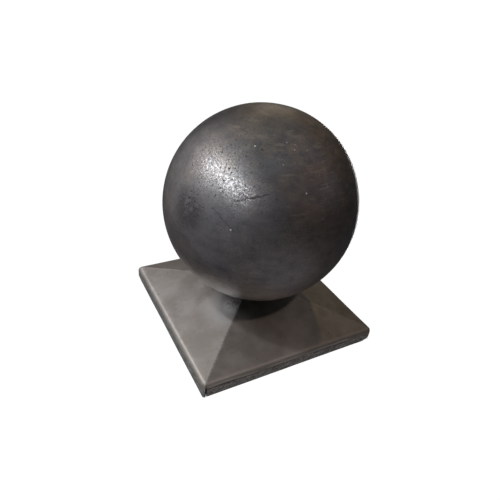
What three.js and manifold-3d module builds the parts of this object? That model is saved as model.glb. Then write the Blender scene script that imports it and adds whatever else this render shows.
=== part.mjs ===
// Ball-top post cap: a steel ball welded into the apex of a pyramid cap folded from sheet steel.
// Millimetres, +Z up. The origin is the middle of the square rim that the cap stands on.
import * as THREE from "three";
import { mergeVertices } from "three/addons/utils/BufferGeometryUtils.js";
import Module from "manifold-3d";

// Ball
const BALL_RADIUS = 50;
const BALL_CENTRE_Z = 68.9;
const BALL_SIDES = 64;
const BALL_RINGS = 32;
const SEAT_GAP = 0.3;

// Cap: its lips and slopes meet on a sharp line at LIP_HEIGHT, which the bend then rounds
const CAP_SIDE = 104;
const SHEET = 1.2;
const LIP_HEIGHT = 7;
const SLOPE_ANGLE = THREE.MathUtils.degToRad(16.2);
const BEND_RADIUS = 3;
const BEND_STEPS = 6;

// Corners in turn from the front one: how round each is seen from above, how far its rim is lifted, and whether
// its open joint is at the start of the lip after it (-1) or at the end of the lip before it (1)
const CORNERS = [
  { round: 1, lift: 0, jointEnd: -1 },
  { round: 3.2, lift: 2.6, jointEnd: -1 },
  { round: 2.2, lift: 2, jointEnd: -1 },
  { round: 1.8, lift: 1.2, jointEnd: 1 },
];
const CORNER_STEPS = 5;
const LIFT_RUN = 6;
const SLIT_WIDTH = 0.7;
const SLIT_HEIGHT = 5.7;

// How far a cutting shape runs past the surface that it cuts
const PAST = 2;
const QUARTER_TURN = Math.PI / 2;

const wasm = await Module();
wasm.setup();

// A closed three.js geometry as a solid that can be joined and cut.
function solidOf(geometry) {
  const bare = geometry.clone();
  bare.deleteAttribute("normal");
  bare.deleteAttribute("uv");
  const merged = mergeVertices(bare, 1e-4);
  return new wasm.Manifold(
    new wasm.Mesh({
      numProp: 3,
      vertProperties: new Float32Array(merged.attributes.position.array),
      triVerts: new Uint32Array(merged.index.array),
    }),
  );
}

function geometryOf(solid) {
  const mesh = solid.getMesh();
  const geometry = new THREE.BufferGeometry();
  geometry.setAttribute("position", new THREE.BufferAttribute(mesh.vertProperties, 3));
  geometry.setIndex(new THREE.BufferAttribute(mesh.triVerts, 1));
  return geometry;
}

// A sphere on the ball's centre, with its poles on the Z axis.
function ballGeometry(radius) {
  const geometry = new THREE.SphereGeometry(radius, BALL_SIDES, BALL_RINGS);
  geometry.rotateX(QUARTER_TURN);
  return geometry.translate(0, 0, BALL_CENTRE_Z);
}

// A full pyramid on a square block: a half profile turned in four steps, each flat halfSide from the axis.
function pyramidSolid(halfSide, edgeHeight, bendRadius, floor) {
  const apex = edgeHeight + halfSide * Math.tan(SLOPE_ANGLE);
  const bendTurn = QUARTER_TURN - SLOPE_ANGLE;
  const bendX = halfSide - bendRadius;
  const bendZ = edgeHeight - bendRadius * Math.tan(bendTurn / 2);
  const profile = [
    [0, floor],
    [halfSide, floor],
  ];
  for (let step = 0; step <= BEND_STEPS; step++) {
    const angle = (bendTurn * step) / BEND_STEPS;
    profile.push([bendX + bendRadius * Math.cos(angle), bendZ + bendRadius * Math.sin(angle)]);
  }
  profile.push([0, apex]);
  const points = profile.map(([width, z]) => new THREE.Vector2(width * Math.SQRT2, z));
  const geometry = new THREE.LatheGeometry(points, 4, Math.PI / 4);
  return solidOf(geometry.rotateX(QUARTER_TURN));
}

// An upright block whose plan is a square with each corner rounded by its own radius.
function roundedBlock(halfSide, radii) {
  const plan = new THREE.Shape();
  radii.forEach((radius, corner) => {
    const turn = QUARTER_TURN * corner;
    const inset = halfSide - radius;
    const centre = new THREE.Vector2(-inset, -inset).rotateAround(new THREE.Vector2(), turn);
    plan.absarc(centre.x, centre.y, radius, Math.PI + turn, Math.PI + turn + QUARTER_TURN);
  });
  const depth = CAP_SIDE;
  const geometry = new THREE.ExtrudeGeometry(plan, { depth, bevelEnabled: false, curveSegments: CORNER_STEPS });
  return solidOf(geometry.translate(0, 0, -depth / 2));
}

// A wedge that lifts the rim in a straight ramp towards a corner, by lift where the two lips would meet.
function rimRamp(corner, lift) {
  const size = CAP_SIDE / 2;
  const reach = LIFT_RUN * Math.SQRT1_2;
  const wedge = new THREE.BoxGeometry(size, size, size).translate(size / 2 - PAST, 0, -size / 2);
  wedge.rotateY(-Math.atan2(lift, reach));
  wedge.translate((CAP_SIDE / 2) * Math.SQRT2 - reach, 0, 0);
  return solidOf(wedge.rotateZ(QUARTER_TURN * corner - QUARTER_TURN * 1.5));
}

// The open joint beside a corner, where the straight run of the lip begins.
function slit(corner, round, end) {
  const across = CAP_SIDE / 2 - Math.max(SHEET, round) - SLIT_WIDTH / 2;
  const depth = 2 * SHEET + PAST;
  const gap = new THREE.BoxGeometry(SLIT_WIDTH, depth, SLIT_HEIGHT + PAST);
  gap.translate(end * across, SHEET / 2 - CAP_SIDE / 2, (SLIT_HEIGHT - PAST) / 2);
  const face = end < 0 ? corner : corner - 1;
  return solidOf(gap.rotateZ(QUARTER_TURN * face));
}

// The sheet: an outer pyramid less an inner one that lies a sheet's thickness inside it.
function capGeometry() {
  const outerHalf = CAP_SIDE / 2;
  const innerHalf = outerHalf - SHEET;
  const innerEdge = LIP_HEIGHT + SHEET * Math.tan(SLOPE_ANGLE) - SHEET / Math.cos(SLOPE_ANGLE);
  const outerRounds = CORNERS.map(({ round }) => round);
  const innerRounds = outerRounds.map((round) => Math.max(round - SHEET, SEAT_GAP));
  const outerPlan = roundedBlock(outerHalf, outerRounds);
  const innerPlan = roundedBlock(innerHalf, innerRounds);
  const outer = pyramidSolid(outerHalf, LIP_HEIGHT, BEND_RADIUS, 0).intersect(outerPlan);
  const inner = pyramidSolid(innerHalf, innerEdge, BEND_RADIUS - SHEET, -PAST).intersect(innerPlan);
  let sheet = outer.subtract(inner).subtract(solidOf(ballGeometry(BALL_RADIUS + SEAT_GAP)));
  CORNERS.forEach(({ round, lift, jointEnd }, corner) => {
    sheet = sheet.subtract(slit(corner, round, jointEnd));
    if (lift > 0) {
      sheet = sheet.subtract(rimRamp(corner, lift));
    }
  });
  return geometryOf(sheet);
}

function steelPart(name, geometry, color, roughness) {
  const material = new THREE.MeshStandardMaterial({ color, roughness, metalness: 1 });
  const mesh = new THREE.Mesh(geometry, material);
  mesh.name = name;
  return mesh;
}

const postCap = new THREE.Group();
postCap.add(steelPart("ball", ballGeometry(BALL_RADIUS), 0x4c4b4c, 0.42));
postCap.add(steelPart("cap", capGeometry(), 0x7c756f, 0.48));

export default postCap;
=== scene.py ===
"""Ball-top post cap: the steel ball and the folded sheet cap, their steel, the light and the camera."""
import math

import bpy
import numpy as np
from mathutils import Matrix, Vector


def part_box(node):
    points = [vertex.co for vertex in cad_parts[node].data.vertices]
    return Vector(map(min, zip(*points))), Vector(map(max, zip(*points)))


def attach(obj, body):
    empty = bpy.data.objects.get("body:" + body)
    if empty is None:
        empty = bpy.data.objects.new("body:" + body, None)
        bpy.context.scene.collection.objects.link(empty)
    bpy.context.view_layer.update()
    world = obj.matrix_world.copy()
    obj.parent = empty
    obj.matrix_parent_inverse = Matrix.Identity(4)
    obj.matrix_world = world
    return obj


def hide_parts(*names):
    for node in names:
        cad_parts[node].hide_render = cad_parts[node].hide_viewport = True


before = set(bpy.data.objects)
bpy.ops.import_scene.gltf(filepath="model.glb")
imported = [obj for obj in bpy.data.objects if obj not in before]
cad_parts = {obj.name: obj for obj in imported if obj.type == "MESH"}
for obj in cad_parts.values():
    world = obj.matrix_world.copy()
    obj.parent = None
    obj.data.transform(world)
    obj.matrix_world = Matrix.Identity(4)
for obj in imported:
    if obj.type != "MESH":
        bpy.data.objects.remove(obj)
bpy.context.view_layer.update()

MM = 0.001
QUARTER_TURN = math.pi / 2

# Sizes taken from the frame
ball_low, ball_high = (np.array(corner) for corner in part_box("ball"))
BALL_CENTRE = (ball_low + ball_high) / 2
BALL_RADIUS = (ball_high[2] - ball_low[2]) / 2
CAP_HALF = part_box("cap")[1][0]

# Ball
BALL_RINGS = 200
BALL_SIDES = 400
BALL_DENT = 0.06 * MM
BALL_DENT_SPAN = 17 * MM

# Cap sheet: lips and slopes meet on a sharp line at LIP_HEIGHT, which the bend rounds
SHEET = 1.2 * MM
LIP_HEIGHT = 7 * MM
SLOPE = math.radians(16.2)
BEND_RADIUS = 3 * MM
BEND_TURN = QUARTER_TURN - SLOPE
SEAT_GAP = 0.15 * MM
HIP_ROUND = 0.8 * MM
EDGE_ROUND = 0.35 * MM
INNER_ROUND = 0.3 * MM
SHEET_DENT = 0.1 * MM
SHEET_DENT_SPAN = 31 * MM
RIM_WEAR = 0.12 * MM
RIM_WEAR_SPAN = 13 * MM

# Corners in turn from the front one: roundness from above, lift of the rim, and the side of the open joint
CORNER_ROUND = np.array([1, 3.2, 2.2, 1.8]) * MM
CORNER_LIFT = np.array([0, 2.6, 2, 1.2]) * MM
JOINT_END = (-1, -1, -1, 1)
LIFT_RUN = 6 * MM
SLIT_WIDTH = 0.7 * MM
SLIT_HEIGHT = 5.7 * MM
SLIT_WALL = 0.01 * MM

# Crease pressed along the front lip just under its bend; each gap has a place, a reach and a strength
CREASE_HEIGHT = 5 * MM
CREASE_SWING = 0.45 * MM
CREASE_WAVE = 9 * MM
CREASE_SWING_PLACE = -40 * MM
CREASE_SWING_REACH = 16 * MM
CREASE_SPAN = (-49.5 * MM, 34 * MM)
CREASE_DEPTH = 0.16 * MM
CREASE_HALF_WIDTH = 0.32 * MM
CREASE_RIDGE = 0.8 * MM
CREASE_GAPS = ((-20 * MM, 4 * MM, 1.0), (6 * MM, 5 * MM, 0.7))

# Grid of the cap: columns along a lip and round a corner, rows down each part of the sheet
SIDE_COLUMNS = 90
CORNER_COLUMNS = 12
SLOPE_ROWS = 44
LIP_ROWS = 30
EDGE_ROWS = 4


def unevenness(points, seed, wavelength):
    """Smooth waves over points, from 0 to 1: eight seeded plane waves of about one wavelength, summed."""
    rng = np.random.default_rng(seed)
    total = np.zeros(points.shape[:-1])
    for _ in range(8):
        direction = rng.normal(size=3)
        direction /= np.linalg.norm(direction)
        pitch = wavelength * rng.uniform(0.7, 1.5)
        total += np.sin(points @ direction * (2 * math.pi / pitch) + rng.uniform(0, 2 * math.pi))
    return 0.5 + 0.5 * np.tanh(total / 3)


def mesh_piece(name, points, faces):
    """A smooth-shaded object at the origin from points and faces, with its sharper folds kept as edges."""
    mesh = bpy.data.meshes.new(name)
    mesh.from_pydata(points.reshape(-1, 3).tolist(), [], faces)
    mesh.polygons.foreach_set("use_smooth", np.ones(len(faces), dtype=bool))
    mesh.set_sharp_from_angle(angle=math.radians(40))
    piece = bpy.data.objects.new(name, mesh)
    bpy.context.scene.collection.objects.link(piece)
    return piece


def grid_faces(rows, columns, closed=True):
    """Quads over a rows x columns grid of points; a closed grid's columns run round and join up."""
    last = columns if closed else columns - 1
    row, column = np.meshgrid(np.arange(rows - 1), np.arange(last), indexing="ij")
    here = row * columns
    below = here + columns
    after = (column + 1) % columns
    quads = np.stack([here + column, below + column, below + after, here + after], axis=-1)
    return quads.reshape(-1, 4).tolist()


def make_ball():
    """The ball: centre plus (radius less a dent) times the direction at each longitude and latitude."""
    latitude = np.linspace(QUARTER_TURN, -QUARTER_TURN, BALL_RINGS + 1)[1:-1, None]
    longitude = np.linspace(0, 2 * math.pi, BALL_SIDES, endpoint=False)[None, :]
    flat = np.cos(latitude)
    rise = np.sin(latitude) * np.ones_like(longitude)
    direction = np.stack([flat * np.cos(longitude), flat * np.sin(longitude), rise], axis=-1)
    dent = BALL_DENT * unevenness(direction * BALL_RADIUS, 3, BALL_DENT_SPAN)
    ring_points = BALL_CENTRE + direction * (BALL_RADIUS - dent)[..., None]
    pole = np.array([0, 0, BALL_RADIUS])
    points = np.concatenate([ring_points.reshape(-1, 3), [BALL_CENTRE + pole, BALL_CENTRE - pole]])
    rings = BALL_RINGS - 1
    faces = grid_faces(rings, BALL_SIDES)
    top = rings * BALL_SIDES
    start = np.arange(BALL_SIDES)
    after = (start + 1) % BALL_SIDES
    last_ring = top - BALL_SIDES
    top_pole = np.full(BALL_SIDES, top)
    faces += np.stack([top_pole, start, after], axis=-1).tolist()
    faces += np.stack([top_pole + 1, last_ring + after, last_ring + start], axis=-1).tolist()
    return mesh_piece("steel_ball", points, faces)


def cap_columns():
    """The grid's columns in turn round the cap: side, whether on an arc, share of the run, whether cut."""
    columns = []
    for side in range(4):
        start_round = CORNER_ROUND[side]
        end_round = CORNER_ROUND[(side + 1) % 4]
        span = 2 * CAP_HALF - start_round - end_round
        columns += [(side, True, step / CORNER_COLUMNS, False) for step in range(CORNER_COLUMNS)]
        shares = [(step / SIDE_COLUMNS, False) for step in range(SIDE_COLUMNS)]
        slits = []
        if JOINT_END[side] < 0:
            slits.append(max(SHEET, start_round) - start_round)
        if JOINT_END[(side + 1) % 4] > 0:
            slits.append(span - max(SHEET, end_round) + end_round - SLIT_WIDTH)
        for begin in slits:
            low = begin / span
            high = (begin + SLIT_WIDTH) / span
            wall = SLIT_WALL / span
            shares = [entry for entry in shares if not low <= entry[0] <= high]
            shares += [(low, False), (low + wall, True), (high - wall, True), (high, False)]
        columns += [(side, False, share, cut) for share, cut in sorted(shares) if share < 1]
    side, arc, share, cut = (np.array(values) for values in zip(*columns))
    return side, arc, share, cut


COLUMN_SIDE, COLUMN_ARC, COLUMN_SHARE, COLUMN_CUT = cap_columns()


def plan(width, rounds):
    """Plan position of each column at a half-width: along a straight side, or round a corner."""
    start = rounds[..., COLUMN_SIDE]
    end = rounds[..., (COLUMN_SIDE + 1) % 4]
    angle = math.pi + COLUMN_SHARE * QUARTER_TURN
    arc_x = start * (1 + np.cos(angle)) - width
    arc_y = start * (1 + np.sin(angle)) - width
    side_x = start - width + COLUMN_SHARE * (2 * width - start - end)
    x = np.where(COLUMN_ARC, arc_x, side_x)
    y = np.where(COLUMN_ARC, arc_y, -width)
    turn_cos = np.array([1, 0, -1, 0])[COLUMN_SIDE]
    turn_sin = np.array([0, 1, 0, -1])[COLUMN_SIDE]
    return turn_cos * x - turn_sin * y, turn_sin * x + turn_cos * y


def seat_width(apex):
    """Half-width at which each column of a slope meets the ball, found by halving its range."""
    rounds = np.full(4, HIP_ROUND)
    low = np.full(COLUMN_SIDE.shape, 2 * HIP_ROUND)
    high = np.full(COLUMN_SIDE.shape, CAP_HALF / 2)
    for _ in range(40):
        middle = (low + high) / 2
        x, y = plan(middle, rounds)
        z = apex - middle * math.tan(SLOPE)
        inside = x**2 + y**2 + (z - BALL_CENTRE[2]) ** 2 < (BALL_RADIUS + SEAT_GAP) ** 2
        low = np.where(inside, middle, low)
        high = np.where(inside, high, middle)
    return high


def face_rows(half, edge_height, bend, foot):
    """One face of the sheet, row by row from the ball's seat to the foot of the lip.

    The slope is straight from the seat to the bend; from there the share of the run goes round the bend's arc
    and straight down the lip to each column's foot. Gives half-width, height, lean of the face and progress
    past the slope.
    """
    apex = edge_height + half * math.tan(SLOPE)
    bend_x = half - bend
    bend_z = edge_height - bend * math.tan(BEND_TURN / 2)
    slope_end = bend_x + bend * math.cos(BEND_TURN)
    seat = seat_width(apex)
    share = np.linspace(0, 1, SLOPE_ROWS, endpoint=False)[:, None]
    slope_width = seat + (slope_end - seat) * share
    slope_height = apex - slope_width * math.tan(SLOPE)
    arc_only = bend * (BEND_TURN - np.arcsin(np.clip((foot - bend_z) / bend, 0, 1)))
    run = arc_only + np.maximum(bend_z - foot, 0)
    down = np.linspace(0, 1, LIP_ROWS)[:, None] * run
    angle = np.maximum(BEND_TURN - down / bend, 0)
    lip_width = bend_x + bend * np.cos(angle)
    lip_height = bend_z + bend * np.sin(angle) - np.maximum(down - bend * BEND_TURN, 0)
    width = np.concatenate([slope_width, lip_width])
    height = np.concatenate([slope_height, lip_height])
    lean = np.concatenate([np.full_like(slope_width, BEND_TURN), angle])
    return width, height, lean, 1 - lean / BEND_TURN


def crease_share(x, z):
    """Share of the crease's depth on the front lip: a valley along a swinging height, broken by two gaps."""
    swing = CREASE_SWING * np.exp(-(((x - CREASE_SWING_PLACE) / CREASE_SWING_REACH) ** 2))
    height = CREASE_HEIGHT + swing * np.sin(x / CREASE_WAVE)
    valley = np.exp(-(((z - height) / CREASE_HALF_WIDTH) ** 2))
    ends = (x > CREASE_SPAN[0]) & (x < CREASE_SPAN[1])
    gaps = sum(strength * np.exp(-(((x - place) / reach) ** 2)) for place, reach, strength in CREASE_GAPS)
    return valley * ends * np.clip(1 - gaps, 0, 1)


def make_cap():
    """The sheet cap: columns round the square, and rows over the sheet, down a lip and back inside.

    A column's plan position is its place on a square with rounded corners at the row's half-width. Half-width
    and height follow the folded sheet's outline, sunk along its normal by dents and the crease.
    """
    corner_reach = LIFT_RUN / math.sqrt(2)
    x, y = plan(np.full(COLUMN_SIDE.shape, CAP_HALF), CORNER_ROUND)
    rim = RIM_WEAR * unevenness(np.stack([x, y, np.zeros_like(x)], axis=-1), 5, RIM_WEAR_SPAN)
    for corner, diagonal in enumerate(((-1, -1), (1, -1), (1, 1), (-1, 1))):
        along = (x * diagonal[0] + y * diagonal[1]) / math.sqrt(2)
        past = along - CAP_HALF * math.sqrt(2) + corner_reach
        rim = np.maximum(rim, past / corner_reach * CORNER_LIFT[corner])
    foot = np.where(COLUMN_CUT, SLIT_HEIGHT, rim) + EDGE_ROUND

    inner_half = CAP_HALF - SHEET
    inner_edge = LIP_HEIGHT + SHEET * math.tan(SLOPE) - SHEET / math.cos(SLOPE)
    outer_width, outer_height, lean, progress = face_rows(CAP_HALF, LIP_HEIGHT, BEND_RADIUS, foot)
    inner_bend = BEND_RADIUS - SHEET
    inner_width, inner_height, _, inner_progress = face_rows(inner_half, inner_edge, inner_bend, foot)

    widening = CORNER_ROUND - HIP_ROUND
    outer_rounds = HIP_ROUND + widening * progress.mean(axis=1)[:, None]
    inner_rounds = HIP_ROUND + widening * inner_progress.mean(axis=1)[:, None] - SHEET
    inner_rounds = np.maximum(inner_rounds, INNER_ROUND)

    x, y = plan(outer_width, outer_rounds)
    points = np.stack([x, y, outer_height], axis=-1)
    sink = SHEET_DENT * unevenness(points, 7, SHEET_DENT_SPAN)
    front = (COLUMN_SIDE == 0) & ~COLUMN_ARC
    crease = crease_share(x, outer_height) * front
    # The ridge above the crease is kept for a painted highlight
    ridge_highlight = crease_share(x, outer_height - CREASE_RIDGE) * front
    sink = sink + CREASE_DEPTH * crease
    outer_width = outer_width - sink * np.cos(lean)
    outer_height = outer_height - sink * np.sin(lean)

    swing = np.linspace(0, QUARTER_TURN, EDGE_ROWS + 1)[1:, None]
    edge_out_width = outer_width[-1] - EDGE_ROUND * (1 - np.cos(swing))
    edge_out_height = foot - EDGE_ROUND * np.sin(swing)
    edge_in_width = inner_width[-1] + EDGE_ROUND * (1 - np.cos(swing[::-1]))
    edge_in_height = edge_out_height[::-1]

    width = np.concatenate([outer_width, edge_out_width, edge_in_width, inner_width[::-1]])
    height = np.concatenate([outer_height, edge_out_height, edge_in_height, inner_height[::-1]])
    edge_rounds = np.repeat(CORNER_ROUND[None, :], EDGE_ROWS, axis=0)
    edge_inner = np.repeat(inner_rounds[-1:], EDGE_ROWS, axis=0)
    rounds = np.concatenate([outer_rounds, edge_rounds, edge_inner, inner_rounds[::-1]])
    x, y = plan(width, rounds)
    points = np.stack([x, y, height], axis=-1)
    rows, columns = width.shape
    faces = (np.array(grid_faces(rows + 1, columns)) % (rows * columns)).tolist()
    piece = mesh_piece("sheet_cap", points, faces)
    # The crease's share is kept for painted shade and the ridge's for a painted highlight
    for name, values in (("crease", crease), ("ridge_highlight", ridge_highlight)):
        whole = np.zeros(rows * columns)
        whole[: values.size] = values.ravel()
        piece.data.attributes.new(name, "FLOAT", "POINT").data.foreach_set("value", whole)
    return piece


class Socket:
    """A shader socket in a Python expression: each operator adds the Math node that works it out."""

    def __init__(self, nodes, source):
        self.nodes = nodes
        self.source = source

    def math(self, operation, first, second):
        return self.nodes.node("ShaderNodeMath", {"operation": operation}, {0: first, 1: second})

    def __add__(self, other):
        return self.math("ADD", self, other)

    def __radd__(self, other):
        return self.math("ADD", other, self)

    def __sub__(self, other):
        return self.math("SUBTRACT", self, other)

    def __rsub__(self, other):
        return self.math("SUBTRACT", other, self)

    def __mul__(self, other):
        return self.math("MULTIPLY", self, other)

    def __rmul__(self, other):
        return self.math("MULTIPLY", other, self)

    def __abs__(self):
        return self.math("ABSOLUTE", self, 0)


class Nodes:
    """A node tree that is written as expressions."""

    def __init__(self, tree):
        self.tree = tree

    def node(self, kind, settings=None, inputs=None, output=0):
        """Adds a node of a kind, sets its settings first, then the values or links of its sockets."""
        made = self.tree.nodes.new(kind)
        for key, value in (settings or {}).items():
            setattr(made, key, value)
        for key, value in (inputs or {}).items():
            self.feed(made.inputs[key], value)
        return Socket(self, made.outputs[output])

    def feed(self, target, value):
        if isinstance(value, Socket):
            self.tree.links.new(value.source, target)
        else:
            target.default_value = value

    def position(self):
        return self.node("ShaderNodeTexCoord", output="Object")

    def vector(self, operation, *values, output=0):
        return self.node("ShaderNodeVectorMath", {"operation": operation}, dict(enumerate(values)), output)

    def axes(self, place):
        return [self.node("ShaderNodeSeparateXYZ", {}, {"Vector": place}, axis) for axis in "XYZ"]

    def stretch(self, place, scale):
        return self.vector("MULTIPLY", place, scale)

    def noise(self, place, per_mm, detail=2.0, roughness=0.5):
        inputs = {"Vector": place, "Scale": per_mm / MM, "Detail": detail, "Roughness": roughness}
        return self.node("ShaderNodeTexNoise", {}, inputs, "Fac")

    def step(self, value, low, high):
        """0 below low, 1 above high, smooth between; the other way round when low is above high."""
        inputs = {"Value": value, "From Min": low, "From Max": high}
        return self.node("ShaderNodeMapRange", {"interpolation_type": "SMOOTHSTEP"}, inputs)

    def mix(self, share, first, second):
        return self.node("ShaderNodeMix", {"data_type": "RGBA"}, {0: share, 6: first, 7: second}, 2)

    def bump(self, height, depth, strength):
        return self.node("ShaderNodeBump", {}, {"Strength": strength, "Distance": depth, "Height": height})


def colour(red, green, blue):
    return (red, green, blue, 1.0)


def new_steel(name, metallic):
    """A new material, its node tree and the sockets of its surface."""
    material = bpy.data.materials.new(name)
    material.use_nodes = True
    surface = material.node_tree.nodes["Principled BSDF"]
    surface.inputs["Metallic"].default_value = metallic
    return material, Nodes(material.node_tree), surface.inputs


# Marks on the ball, as directions from its centre: azimuth from -Y towards +X and elevation, in degrees
# The worn patch and band lie on the highlight: their lighter flecks are partly rubbed scale and partly a
# painted highlight
WORN_HIGHLIGHT_PATCH = (-57, 39)
WORN_HIGHLIGHT_BAND = ((-72, 42), (-57, 39), (-43, 33))
ROUGH_PATCH = (-73, 14)
# Painted glints: bright specks gathered where a lamp's highlight falls, standing in for that highlight
PAINTED_GLINT_PATCH = (-12, 53)
# The top-right side, where a brown reflection is painted into the scale's tint and pale scratches gather
BROWN_TINT_AND_REFLECTION_SIDE = (35, 60)
CRACK = ((-46, 26.2), (-28.4, 31.9))
STREAK = ((-57.7, 20.4), (-43.7, 12))
BRIGHT_SPECKS = ((-42.8, 55.1), (-6.6, 32.6), (-45.6, 12.6))

# How far each mark reaches: the angles in degrees at which it starts to fade and ends, or its half-width
HIGHLIGHT_BAND_REACH = (3, 15)
WORN_HIGHLIGHT_REACH = (12, 34)
ROUGH_REACH = (3, 14)
BROWN_TINT_AND_REFLECTION_REACH = (15, 75)
PAINTED_GLINT_REACH = (5, 14)
SPECK_REACH = (0.15, 0.55)
CRACK_HALF_WIDTH = 0.4 * MM
STREAK_HALF_WIDTH = 0.55 * MM
MARK_WOBBLE = 0.05
MARK_END = 0.002

# Grain of the ball's finish, in waves to the millimetre, its depth and its tones, which include a painted
# highlight, painted glints and a painted reflection
CLOUDS = 0.05
SMEARS = 0.11
SMEAR_STRETCH = (1.0, 1.0, 2.2)
MOTTLES = 0.2
GRIT = 1.3
PORES = 0.95
SCRATCHES = 0.8
SCRATCH_STRETCH = (0.12, 0.12, 1.0)
# Density of the painted glints
PAINTED_GLINTS = 0.3
BALL_GRAIN_DEPTH = 0.12 * MM
SCALE_GREY = colour(0.132, 0.132, 0.136)
SCALE_BROWN = colour(0.158, 0.134, 0.112)
SMEAR_GREY = colour(0.088, 0.085, 0.087)
MOTTLE_DARK = colour(0.075, 0.073, 0.077)
MOTTLE_PALE = colour(0.2, 0.192, 0.185)
ROUGH_BLACK = colour(0.04, 0.038, 0.04)
RUBBED_OLIVE = colour(0.3, 0.285, 0.24)
# Lighter flecks, gathered along the highlight as a partly painted highlight
FLECK_AND_HIGHLIGHT_SILVER = colour(0.29, 0.288, 0.286)
PIT_BLACK = colour(0.04, 0.038, 0.039)
# White of the bright specks and of the painted glints
SPECK_WHITE = colour(0.62, 0.62, 0.61)


def ball_direction(azimuth, elevation):
    turn = math.radians(azimuth)
    rise = math.radians(elevation)
    return Vector((math.sin(turn) * math.cos(rise), -math.cos(turn) * math.cos(rise), math.sin(rise)))


def near(nodes, facing, spot, reach):
    """1 within the first angle of a reach from a spot on the ball, 0 beyond the second, in degrees."""
    inner, outer = (math.cos(math.radians(angle)) for angle in reach)
    towards = nodes.vector("DOT_PRODUCT", facing, ball_direction(*spot), output="Value")
    return nodes.step(towards, outer, inner)


def line_mark(nodes, facing, ends, half_width, wobble):
    """1 on the great-circle arc between two spots on the ball, shaken by a wobble; 0 past its half-width."""
    start, end = (ball_direction(*spot) for spot in ends)
    across = start.cross(end).normalized()
    middle = (start + end).normalized()
    offset = nodes.vector("DOT_PRODUCT", facing, across, output="Value") + wobble
    along = nodes.vector("DOT_PRODUCT", facing, middle, output="Value")
    reach = half_width / BALL_RADIUS
    beside = nodes.step(abs(offset), reach, reach * 0.4)
    return beside * nodes.step(along, middle.dot(start) - MARK_END, middle.dot(start))


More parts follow.
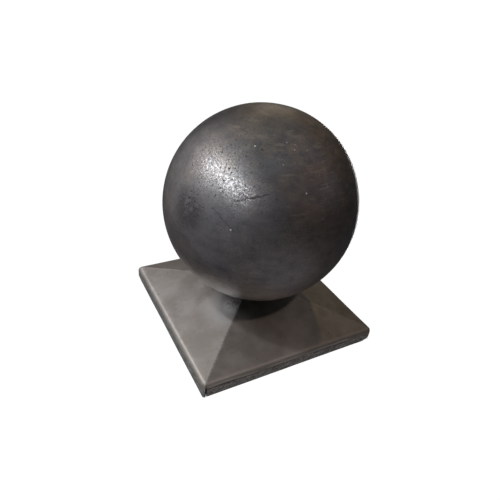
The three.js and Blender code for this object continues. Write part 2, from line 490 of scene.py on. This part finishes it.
def ball_steel():
    """Dark mill scale: grey with brown clouds, browner on the top-right side as a painted reflection; bright
    rubbed flecks that gather along the highlight as a partly painted highlight; pits in patches, a few marks
    and painted glints.
    """
    material, nodes, surface = new_steel("ball_steel", 1.0)
    place = nodes.position()
    facing = nodes.vector("NORMALIZE", nodes.vector("SUBTRACT", place, Vector(BALL_CENTRE)))
    cloud = nodes.noise(place, CLOUDS, 5.0, 0.62)
    smear = nodes.noise(nodes.stretch(place, SMEAR_STRETCH), SMEARS, 4.0, 0.62)
    mottle = nodes.noise(place, MOTTLES, 7.0, 0.72)
    grit = nodes.noise(place, GRIT, 3.0, 0.7)
    pore = nodes.noise(place, PORES, 1.5, 0.6)
    scratches = nodes.noise(nodes.stretch(place, SCRATCH_STRETCH), SCRATCHES, 3.0, 0.6)

    # Worn band and patch along the highlight: more lighter flecks there, partly a painted highlight
    band = sum(near(nodes, facing, spot, HIGHLIGHT_BAND_REACH) for spot in WORN_HIGHLIGHT_BAND)
    worn_highlight_band = band.math("MINIMUM", band, 1)
    around_highlight = near(nodes, facing, WORN_HIGHLIGHT_PATCH, WORN_HIGHLIGHT_REACH)
    rough = near(nodes, facing, ROUGH_PATCH, ROUGH_REACH)
    brown_and_reflection_side = near(nodes, facing, BROWN_TINT_AND_REFLECTION_SIDE, BROWN_TINT_AND_REFLECTION_REACH)
    patchy = nodes.step(cloud, 0.5, 0.66)
    wear_and_highlight = 0.08 + 0.12 * patchy + 0.12 * around_highlight + 0.6 * worn_highlight_band
    pit = nodes.step(pore - 0.04 * patchy - 0.085 * around_highlight - 0.12 * rough, 0.3, 0.22)
    fleck_and_highlight = nodes.step(grit, 0.45, 0.62) * wear_and_highlight
    scratch = nodes.step(scratches, 0.56, 0.68) * (0.25 + 0.75 * brown_and_reflection_side)
    rubbed = nodes.step(grit, 0.55, 0.68) * nodes.step(mottle, 0.48, 0.62) * (0.2 + 0.8 * brown_and_reflection_side)

    wobble = MARK_WOBBLE * (mottle - 0.5)
    crack = line_mark(nodes, facing, CRACK, CRACK_HALF_WIDTH, wobble) * nodes.step(pore, 0.4, 0.5)
    streak = line_mark(nodes, facing, STREAK, STREAK_HALF_WIDTH, wobble)
    bright = sum(near(nodes, facing, spot, SPECK_REACH) for spot in BRIGHT_SPECKS)
    # Painted glints in the glint patch, added to the bright specks
    cells = nodes.node("ShaderNodeTexVoronoi", {}, {"Vector": place, "Scale": PAINTED_GLINTS / MM}, "Distance")
    painted_glints = nodes.step(cells, 0.13, 0.06) * near(nodes, facing, PAINTED_GLINT_PATCH, PAINTED_GLINT_REACH)
    bright = bright + painted_glints * 0.5

    # Brown tint from the clouds, heavier on the top-right side as a painted brown reflection
    brown_tint_and_reflection = nodes.step(cloud, 0.4, 0.62) * (0.3 + 0.7 * brown_and_reflection_side)
    tone = nodes.mix(brown_tint_and_reflection, SCALE_GREY, SCALE_BROWN)
    tone = nodes.mix(nodes.step(smear, 0.4, 0.7) * 0.6, tone, SMEAR_GREY)
    tone = nodes.mix(nodes.step(mottle, 0.5, 0.34) * 0.5, tone, MOTTLE_DARK)
    tone = nodes.mix(nodes.step(mottle, 0.54, 0.7) * 0.4, tone, MOTTLE_PALE)
    tone = nodes.mix(rough * nodes.step(mottle, 0.36, 0.54) * 0.75, tone, ROUGH_BLACK)
    tone = nodes.mix(scratch * 0.3 + rubbed * 0.6, tone, RUBBED_OLIVE)
    tone = nodes.mix(fleck_and_highlight * 0.6, tone, FLECK_AND_HIGHLIGHT_SILVER)
    tone = nodes.mix(pit * 0.8, tone, PIT_BLACK)
    tone = nodes.mix(crack * 0.75 + streak * 0.3, tone, ROUGH_BLACK)
    tone = nodes.mix(bright, tone, SPECK_WHITE)
    nodes.feed(surface["Base Color"], tone)
    nodes.feed(surface["Roughness"], 0.45 + 0.1 * (cloud - 0.5) - 0.19 * fleck_and_highlight + 0.15 * pit)
    height = 0.9 * wear_and_highlight * grit + 0.8 * mottle - 0.7 * pit - 0.8 * crack - 0.3 * streak + 0.1 * scratch
    nodes.feed(surface["Normal"], nodes.bump(height, BALL_GRAIN_DEPTH, 0.45))
    return material


# Places on the sheet: the scuffed spot beside the front hip, lit with painted light against the ball's shade,
# and where each zone starts and is full
SCUFF_PLACE = Vector((-17, -13.5, 17.4)) * MM
SCUFF_ENDS = (8.5 * MM, 3 * MM)
PAINTED_LIGHT_ENDS = (22 * MM, 5 * MM)
LIP_ENDS = (6.2 * MM, 4.8 * MM)
BEND_FOOT = (5 * MM, 6.2 * MM)
BEND_HEAD = (8 * MM, 6.8 * MM)
FRONT_ENDS = (-48.5 * MM, -50 * MM)
HIP_ENDS = (1.8 * MM, 0.5 * MM)
HIP_FOOT = (6.5 * MM, 8 * MM)
LEFT_OF_HIP = (-1.5 * MM, 0.5 * MM)
RIM_EDGE = (1 * MM, 0.2 * MM)
SLIT_PLACE = CAP_HALF - SHEET - SLIT_WIDTH / 2
SLIT_ENDS = (0.75 * MM, 0.4 * MM)
SLIT_FACE = (-50.5 * MM, -51 * MM)
SLIT_HEAD = (SLIT_HEIGHT + 0.4 * MM, SLIT_HEIGHT)

# Grain of the sheet's finish, in waves to the millimetre, its depth and its tones, which include painted
# light, painted shade and a painted highlight
SHEET_CLOUDS = 0.07
SHEET_GRIT = 0.9
SHEET_SPECKS = 0.42
LIP_STREAKS = 1.3
LIP_STRETCH = (0.09, 0.09, 1.0)
SHEET_GRAIN_DEPTH = 0.16 * MM
SHEET_BROWN = colour(0.26, 0.238, 0.214)
SHEET_GREY = colour(0.34, 0.32, 0.3)
SHEET_SPECK = colour(0.15, 0.14, 0.13)
LIP_DARK = colour(0.13, 0.125, 0.122)
LIP_WORN = colour(0.56, 0.55, 0.54)
EDGE_BRIGHT = colour(0.46, 0.455, 0.45)
# Painted shade for the front bend
FRONT_BEND_SHADE = colour(0.13, 0.12, 0.11)
# Painted light lifting the ball's shade beside the front hip
PAINTED_LIGHT_GREY = colour(0.6, 0.6, 0.6)
# Scuff white, made brighter as painted light where the ball's shade falls
SCUFF_AND_LIGHT_WHITE = colour(0.95, 0.96, 0.98)
# Painted highlight on the crease's ridge
RIDGE_HIGHLIGHT = colour(0.5, 0.495, 0.49)
# Painted shade for the crease and the slit, also darkening the rim's lowest edge
SHADE_AND_EDGE_BLACK = colour(0.06, 0.056, 0.054)


def cap_steel():
    """Warm grey sheet: mottled, rubbed bright on its hips, scuffed and lit with painted light beside the
    ball, streaked on its lips; painted shade in its crease, slit and front bend, a painted highlight on the
    crease's ridge.
    """
    material, nodes, surface = new_steel("cap_steel", 0.75)
    place = nodes.position()
    x, y, z = nodes.axes(place)
    cloud = nodes.noise(place, SHEET_CLOUDS, 5.0, 0.62)
    grit = nodes.noise(place, SHEET_GRIT, 3.0, 0.65)
    speck = nodes.noise(place, SHEET_SPECKS, 1.0, 0.5)
    streaks = nodes.noise(nodes.stretch(place, LIP_STRETCH), LIP_STREAKS, 3.0, 0.6)
    crease = nodes.node("ShaderNodeAttribute", {"attribute_name": "crease"}, output="Fac")
    ridge_highlight = nodes.node("ShaderNodeAttribute", {"attribute_name": "ridge_highlight"}, output="Fac")

    lip = nodes.step(z, *LIP_ENDS)
    bend = nodes.step(z, *BEND_FOOT) * nodes.step(z, *BEND_HEAD)
    front_bend = bend * nodes.step(y, *FRONT_ENDS)
    hip_offset = abs(x) - abs(y)
    hip = nodes.step(abs(hip_offset), *HIP_ENDS) * nodes.step(z, *HIP_FOOT)
    scuff_offset = nodes.vector("DISTANCE", place, SCUFF_PLACE, output="Value")
    beside_hip = nodes.step(hip_offset, *LEFT_OF_HIP)
    # Painted light: a broad lighter zone on the left slope beside the hip, where the ball's shade falls
    rubbed = nodes.step(scuff_offset, *PAINTED_LIGHT_ENDS) * beside_hip
    # Real scuffs, brightened as painted light against the ball's shade
    scuff_and_painted_light = nodes.step(scuff_offset, *SCUFF_ENDS) * nodes.step(grit, 0.3, 0.52) * beside_hip
    dark_edge = nodes.step(z, *RIM_EDGE)
    # Painted shade in the slit at the front corner
    slit_sides = nodes.step(abs(x + SLIT_PLACE), *SLIT_ENDS)
    slit_shade = slit_sides * nodes.step(y, *SLIT_FACE) * nodes.step(z, *SLIT_HEAD)
    bright_edge = (0.3 * bend + 0.8 * hip) * nodes.step(grit, 0.42, 0.62)
    worn_lip = lip * (0.45 * nodes.step(streaks, 0.42, 0.66) + 0.55 * nodes.step(grit, 0.4, 0.66))

    tone = nodes.mix(nodes.step(cloud, 0.35, 0.68), SHEET_BROWN, SHEET_GREY)
    tone = nodes.mix(nodes.step(speck, 0.3, 0.22) * 0.5, tone, SHEET_SPECK)
    tone = nodes.mix(lip * 0.85, tone, LIP_DARK)
    tone = nodes.mix(worn_lip, tone, LIP_WORN)
    tone = nodes.mix(bright_edge * 0.5, tone, EDGE_BRIGHT)
    # Painted shade: only the front lip's bend is darkened
    tone = nodes.mix(front_bend * 0.65, tone, FRONT_BEND_SHADE)
    tone = nodes.mix(rubbed * 0.6, tone, PAINTED_LIGHT_GREY)
    tone = nodes.mix(scuff_and_painted_light, tone, SCUFF_AND_LIGHT_WHITE)
    # Painted highlight on the ridge just above the crease
    tone = nodes.mix(ridge_highlight * 0.6, tone, RIDGE_HIGHLIGHT)
    # Painted shade in the crease and the slit; the rim's lowest edge is darkened too
    tone = nodes.mix(crease * 0.85 + dark_edge * 0.5 + slit_shade * 0.9, tone, SHADE_AND_EDGE_BLACK)
    nodes.feed(surface["Base Color"], tone)
    roughness = 0.4 + 0.12 * (cloud - 0.5) + 0.2 * bend + 0.15 * front_bend + 0.16 * lip
    nodes.feed(surface["Roughness"], roughness)
    height = 0.4 * grit + lip * (0.6 * streaks + 0.5 * grit) + 0.4 * bend * grit
    nodes.feed(surface["Normal"], nodes.bump(height, SHEET_GRAIN_DEPTH, 0.3))
    return material


# Floor: flat round the part, then rising as a sweep
FLOOR_REACH = 20.0
FLOOR_FLAT = 3.0
FLOOR_SWEEP = 8.0
FLOOR_STEPS = 81
FLOOR_GLOW = 1.0
FLOOR_WHITE = colour(0.8, 0.8, 0.8)


def make_floor():
    """A plain pale floor: level, then rising with the square of the distance past its flat part.

    It glows so that it reads as white, save inside the cap where the glow stops as painted shade, and is
    clear from below so that the cap's underside shows.
    """
    steps = np.linspace(-FLOOR_REACH, FLOOR_REACH, FLOOR_STEPS)
    x, y = np.meshgrid(steps, steps, indexing="ij")
    past = np.maximum(np.hypot(x, y) - FLOOR_FLAT, 0)
    points = np.stack([x, y, past**2 / FLOOR_SWEEP], axis=-1)
    floor = mesh_piece("floor", points, grid_faces(FLOOR_STEPS, FLOOR_STEPS, closed=False))
    material = bpy.data.materials.new("floor")
    material.use_nodes = True
    shader = material.node_tree.nodes["Principled BSDF"]
    surface = shader.inputs
    surface["Base Color"].default_value = FLOOR_WHITE
    surface["Roughness"].default_value = 1.0
    surface["Specular IOR Level"].default_value = 0.0
    surface["Emission Strength"].default_value = FLOOR_GLOW
    nodes = Nodes(material.node_tree)
    x, y, _ = nodes.axes(nodes.position())
    # Painted shade: the floor's glow stops inside the cap's footprint
    reach = x.math("MAXIMUM", abs(x), abs(y))
    glow_and_shade_under_cap = nodes.mix(nodes.step(reach, CAP_HALF - 2 * SHEET, CAP_HALF), colour(0, 0, 0), colour(1, 1, 1))
    nodes.feed(surface["Emission Color"], glow_and_shade_under_cap)
    below = nodes.node("ShaderNodeNewGeometry", output="Backfacing")
    clear = nodes.node("ShaderNodeBsdfTransparent")
    white = Socket(nodes, shader.outputs["BSDF"])
    shown = nodes.node("ShaderNodeMixShader", {}, {0: below, 1: white, 2: clear})
    nodes.feed(material.node_tree.nodes["Material Output"].inputs["Surface"], shown)
    floor.data.materials.append(material)
    floor.visible_glossy = False
    floor.visible_diffuse = False
    floor.visible_shadow = False


# Lamps: azimuth from +Y towards +X, elevation, width and height in metres, power, tint and piece lit
LAMP_DISTANCE = 1.5
LAMPS = (
    ("ball_left", -90, 40, 0.24, 2.3, 20.0, (0.97, 0.98, 1.0), "steel_ball"),
    ("ball_far_left", -45, 15, 2.2, 2.2, 8.7, (1.0, 0.94, 0.94), "steel_ball"),
    ("ball_high_left", -45, 45, 2.2, 2.2, 5.8, (1.0, 0.9, 0.86), "steel_ball"),
    ("ball_low_left", -90, -15, 2.2, 2.2, 4.6, (0.9, 0.89, 1.0), "steel_ball"),
    ("ball_low_back", -45, -50, 2.2, 2.2, 1.4, (1.0, 0.8, 0.74), "steel_ball"),
    ("ball_back", 34, 26, 0.5, 0.5, 0.8, (1.0, 0.88, 0.69), "steel_ball"),
    ("ball_high_back", 45, 45, 2.2, 2.2, 2.0, (1.0, 0.74, 0.5), "steel_ball"),
    ("ball_top", 10, 80, 2.2, 2.2, 4.2, (0.75, 0.9, 1.0), "steel_ball"),
    ("ball_right", 135, 45, 2.2, 2.2, 4.4, (1.0, 0.79, 0.75), "steel_ball"),
    ("ball_rim", 48, -22, 0.7, 0.7, 15.0, (1.0, 1.0, 1.0), "steel_ball"),
    ("ball_low_right", 135, -50, 2.2, 2.2, 0.6, (1.0, 0.74, 0.69), "steel_ball"),
    ("ball_low_front", 180, -50, 2.2, 2.2, 4.2, (1.0, 0.92, 0.95), "steel_ball"),
    ("ball_front", 225, 15, 2.2, 2.2, 2.8, (0.95, 0.88, 1.0), "steel_ball"),
    ("cap_left", -77, 59, 0.08, 0.08, 6.0, (0.98, 0.96, 1.0), "sheet_cap"),
    ("cap_soft_left", -62, 46, 0.6, 0.6, 9.6, (1.0, 1.0, 1.0), "sheet_cap"),
    ("cap_soft_back", -35, 35, 0.6, 0.6, 3.8, (0.94, 0.94, 1.0), "sheet_cap"),
    ("cap_far_back", 0, 20, 0.4, 0.4, 0.9, (1.0, 0.9, 0.9), "sheet_cap"),
    ("cap_back", 40, 45, 0.07, 0.07, 2.6, (1.0, 0.79, 0.46), "sheet_cap"),
    ("cap_right", 162, 57, 0.08, 0.08, 4.2, (1.0, 0.82, 0.73), "sheet_cap"),
    ("lip_front", 205, -15, 0.5, 0.5, 5.5, (1.0, 0.97, 0.97), "sheet_cap"),
    ("lip_left", 270, -15, 0.5, 0.5, 3.5, (1.0, 0.97, 0.97), "sheet_cap"),
)
ROOM = (0.05, 0.05, 0.05, 1.0)


def direction(azimuth, elevation):
    """Unit vector at an azimuth from +Y towards +X and an elevation, in degrees."""
    turn = math.radians(azimuth)
    rise = math.radians(elevation)
    return Vector((math.sin(turn) * math.cos(rise), math.cos(turn) * math.cos(rise), math.sin(rise)))


def make_lights():
    """Lamps round the ball's centre that each light one piece, in a plain dim room."""
    for name, azimuth, elevation, width, height, power, tint, lit in LAMPS:
        lamp = bpy.data.lights.new(name, "AREA")
        lamp.shape = "ELLIPSE"
        lamp.size = width
        lamp.size_y = height
        lamp.energy = power
        lamp.color = tint
        holder = bpy.data.objects.new(name, lamp)
        away = direction(azimuth, elevation)
        level = away.cross(Vector((0, 1, 0))).normalized()
        axes = Matrix((level, away.cross(level), away)).transposed()
        holder.matrix_world = Matrix.Translation(Vector(BALL_CENTRE) + away * LAMP_DISTANCE) @ axes.to_4x4()
        bpy.context.scene.collection.objects.link(holder)
        receivers = bpy.data.collections.new(name)
        receivers.objects.link(bpy.data.objects[lit])
        holder.light_linking.receiver_collection = receivers
    world = bpy.data.worlds.new("room")
    world.use_nodes = True
    world.node_tree.nodes["Background"].inputs["Color"].default_value = ROOM
    bpy.context.scene.world = world


# Camera fitted to the outlines: place in metres, angles in degrees, focal length and centre in pixels
CAMERA_PLACE = Vector((-0.112434, -0.175194, 0.176203))
CAMERA_AZIMUTH = 30.789
CAMERA_TILT = 34.391
CAMERA_ROLL = 5.955
PHOTO_SIDE = 500
FOCAL_LENGTH = 447.55
CENTRE_X = 241.027
CENTRE_Y = 258.2
SENSOR = 36.0


def make_camera():
    """A camera at its place, turned to its azimuth, tilted down and rolled."""
    forward = direction(CAMERA_AZIMUTH, -CAMERA_TILT)
    level = direction(CAMERA_AZIMUTH + 90, 0)
    upward = level.cross(forward)
    roll = math.radians(CAMERA_ROLL)
    right = level * math.cos(roll) + upward * math.sin(roll)
    up = upward * math.cos(roll) - level * math.sin(roll)
    lens = bpy.data.cameras.new("camera")
    lens.sensor_width = SENSOR
    lens.lens = SENSOR * FOCAL_LENGTH / PHOTO_SIDE
    lens.shift_x = (PHOTO_SIDE / 2 - CENTRE_X) / PHOTO_SIDE
    lens.shift_y = (CENTRE_Y - PHOTO_SIDE / 2) / PHOTO_SIDE
    lens.clip_start = 0.01
    lens.clip_end = 100
    holder = bpy.data.objects.new("camera", lens)
    axes = Matrix((right, up, -forward)).transposed()
    holder.matrix_world = Matrix.Translation(CAMERA_PLACE) @ axes.to_4x4()
    bpy.context.scene.collection.objects.link(holder)
    bpy.context.scene.camera = holder


def main():
    ball = make_ball()
    ball.data.materials.append(ball_steel())
    cap = make_cap()
    cap.data.materials.append(cap_steel())
    for piece, node, steel in ((ball, "ball", "ball_steel"), (cap, "cap", "cap_steel")):
        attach(piece, "root")
        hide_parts(node)
    make_floor()
    make_lights()
    make_camera()
    bpy.context.scene.view_settings.view_transform = "Standard"


main()
